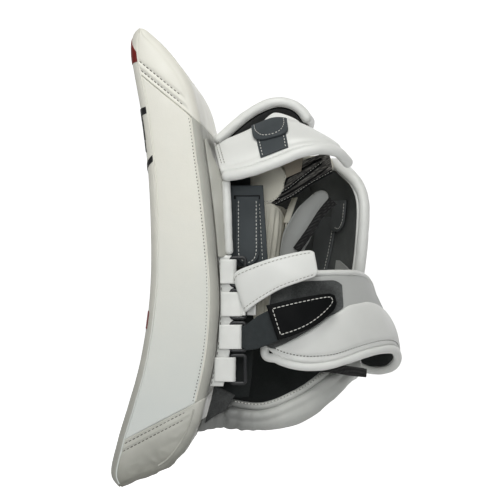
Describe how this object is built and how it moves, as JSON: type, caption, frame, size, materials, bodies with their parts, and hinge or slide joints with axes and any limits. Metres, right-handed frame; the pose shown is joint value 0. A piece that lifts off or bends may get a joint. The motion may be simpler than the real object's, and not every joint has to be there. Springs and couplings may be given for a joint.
{
  "type": "ice hockey goaltender's blocker",
  "caption": "Curved padded board on the back of a stick-hand glove, with finger and thumb guards and a strapped wrist cuff.",
  "frame": {"origin": "centre of the hand pocket, between the board's back pad and the palm", "axes": "+Z from wrist to fingertips, +X from the board to the palm side, -Y the thumb and index-finger side"},
  "size_m": [0.2492, 0.2014, 0.3829],
  "materials": {
    "board_leather": "smooth off-white synthetic leather, slight sheen",
    "white_leather": "soft white synthetic leather over foam, satin",
    "palm_leather": "thin suede-like beige-grey leather, matt",
    "grey_leather": "charcoal synthetic leather, satin",
    "black_leather": "black synthetic leather, satin",
    "dark_lining": "dark grey brushed nylon lining, matt",
    "loop_pile": "grey loop pile of a hook-and-loop closure",
    "grey_felt": "grey felt",
    "elastic": "ribbed dark grey elastic",
    "webbing": "dark grey woven webbing",
    "ring_plastic": "black moulded plastic, semi-gloss",
    "foam": "closed-cell foam, inside the board",
    "stiffener": "hard plastic sheet inside the board",
    "graphic_black": "black inlay leather on the strike face",
    "graphic_red": "dark red inlay leather on the strike face",
    "white_thread": "white bonded stitching thread"
  },
  "bodies": {
    "board": {"strike_foam": "foam", "stiffener_plate": "stiffener", "back_foam": "foam", "strike_face_cover": "board_leather", "back_cover": "board_leather", "top_cap": "board_leather", "bottom_cap": "board_leather", "gusset_near": "board_leather", "gusset_far": "board_leather", "corner_panel_top_near": "board_leather", "corner_panel_top_far": "board_leather", "corner_panel_bottom_near": "board_leather", "corner_panel_bottom_far": "board_leather", "front_piping_near": "white_leather", "front_piping_far": "white_leather", "hand_sleeve": "palm_leather", "hand_back_pad": "dark_lining", "palm_patch": "palm_leather", "side_panel": "grey_leather", "ring_tab_1": "white_leather", "ring_tab_2": "white_leather", "ring_tab_3": "white_leather", "ring_tab_4": "white_leather", "wrist_cuff_pad": "white_leather", "wrist_cuff_lining": "dark_lining", "wrist_cuff_rim": "white_leather", "cuff_anchor": "grey_felt", "webbing_end": "webbing"},
    "finger_guard": {"finger_shield_pad": "white_leather", "finger_shield_lining": "dark_lining", "finger_shield_roll": "white_leather", "finger_shield_far_roll": "white_leather", "index_guard_pad": "white_leather", "index_guard_lining": "dark_lining", "index_guard_roll": "white_leather", "index_guard_strip": "grey_leather"},
    "index_tab": {"index_guard_tab": "grey_leather"},
    "thumb_guard": {"thumb_guard_pad": "white_leather", "thumb_guard_lining": "dark_lining", "thumb_guard_roll": "white_leather", "thumb_guard_strap": "grey_leather"},
    "fingers": {"finger_index": "palm_leather", "finger_middle": "palm_leather", "finger_ring": "palm_leather", "finger_little": "palm_leather"},
    "thumb": {"thumb": "palm_leather", "thumb_band": "elastic"},
    "side_tongue": {"side_strap": "grey_leather"},
    "ring_a": {"ring_1": "ring_plastic"},
    "ring_b": {"ring_2": "ring_plastic"},
    "ring_c": {"ring_3": "ring_plastic"},
    "ring_d": {"ring_4": "ring_plastic"},
    "wrist_closure": {"wrist_strap": "white_leather"},
    "cuff_closure": {"closing_strap": "elastic", "hook_tab": "black_leather"},
    "cuff_flap": {"cuff_flap_pad": "white_leather", "cuff_flap_lining": "dark_lining", "cuff_flap_roll": "white_leather", "cuff_loop_patch": "loop_pile"}
  },
  "joints": [
    {"name": "finger_guard_flex", "type": "hinge", "parent": "board", "child": "finger_guard", "pos_m": [-0.04, 0, 0.095], "axis": [0, -1, 0], "range_deg": [-1, 12], "stiffness_Nm_per_rad": 8},
    {"name": "index_tab_peel", "type": "hinge", "parent": "finger_guard", "child": "index_tab", "pos_m": [0.013, -0.0638, 0.1118], "axis": [-1, 0, 0], "range_deg": [0, 90]},
    {"name": "thumb_guard_flex", "type": "hinge", "parent": "board", "child": "thumb_guard", "pos_m": [0.095, 0, -0.028], "axis": [0, 1, 0], "range_deg": [-1.5, 15], "stiffness_Nm_per_rad": 5},
    {"name": "fingers_curl", "type": "hinge", "parent": "board", "child": "fingers", "pos_m": [0, 0, 0.042], "axis": [0, 1, 0], "range_deg": [-2, 7], "stiffness_Nm_per_rad": 3},
    {"name": "thumb_swing", "type": "hinge", "parent": "board", "child": "thumb", "pos_m": [0.032, -0.025, -0.035], "axis": [0, 1, 0], "range_deg": [-4, 8], "stiffness_Nm_per_rad": 1},
    {"name": "side_strap_slide", "type": "slide", "parent": "board", "child": "side_tongue", "axis": [0, 0, -1], "range_m": [0, 0.01]},
    {"name": "ring_1_swivel", "type": "hinge", "parent": "board", "child": "ring_a", "pos_m": [-0.017, -0.084, -0.0182], "axis": [0, 0, -1], "range_deg": [-10, 15]},
    {"name": "ring_2_swivel", "type": "hinge", "parent": "board", "child": "ring_b", "pos_m": [-0.017, -0.084, -0.0458], "axis": [0, 0, -1], "range_deg": [0, 20]},
    {"name": "ring_3_swivel", "type": "hinge", "parent": "board", "child": "ring_c", "pos_m": [-0.017, -0.084, -0.0734], "axis": [0, 0, -1], "range_deg": [0, 20]},
    {"name": "ring_4_swivel", "type": "hinge", "parent": "board", "child": "ring_d", "pos_m": [-0.017, -0.084, -0.101], "axis": [0, 0, -1], "range_deg": [-10, 25]},
    {"name": "cuff_flap_swing", "type": "hinge", "parent": "board", "child": "cuff_flap", "pos_m": [0.118, 0.02, -0.07], "axis": [0, 0, 1], "range_deg": [0, 10.5]},
    {"name": "closing_strap_swing", "type": "hinge", "parent": "ring_c", "child": "cuff_closure", "pos_m": [-0.005, -0.084, -0.0734], "axis": [0, 0, -1], "range_deg": [0, 75]},
    {"name": "wrist_strap_swing", "type": "hinge", "parent": "ring_b", "child": "wrist_closure", "pos_m": [-0.005, -0.084, -0.0458], "axis": [0, 0, -1], "range_deg": [0, 75]}
  ],
  "couplings": [
    {"joint": "closing_strap_swing", "follows": "cuff_flap_swing", "ratio": 7.14},
    {"joint": "wrist_strap_swing", "follows": "cuff_flap_swing", "ratio": 7.14}
  ]
}
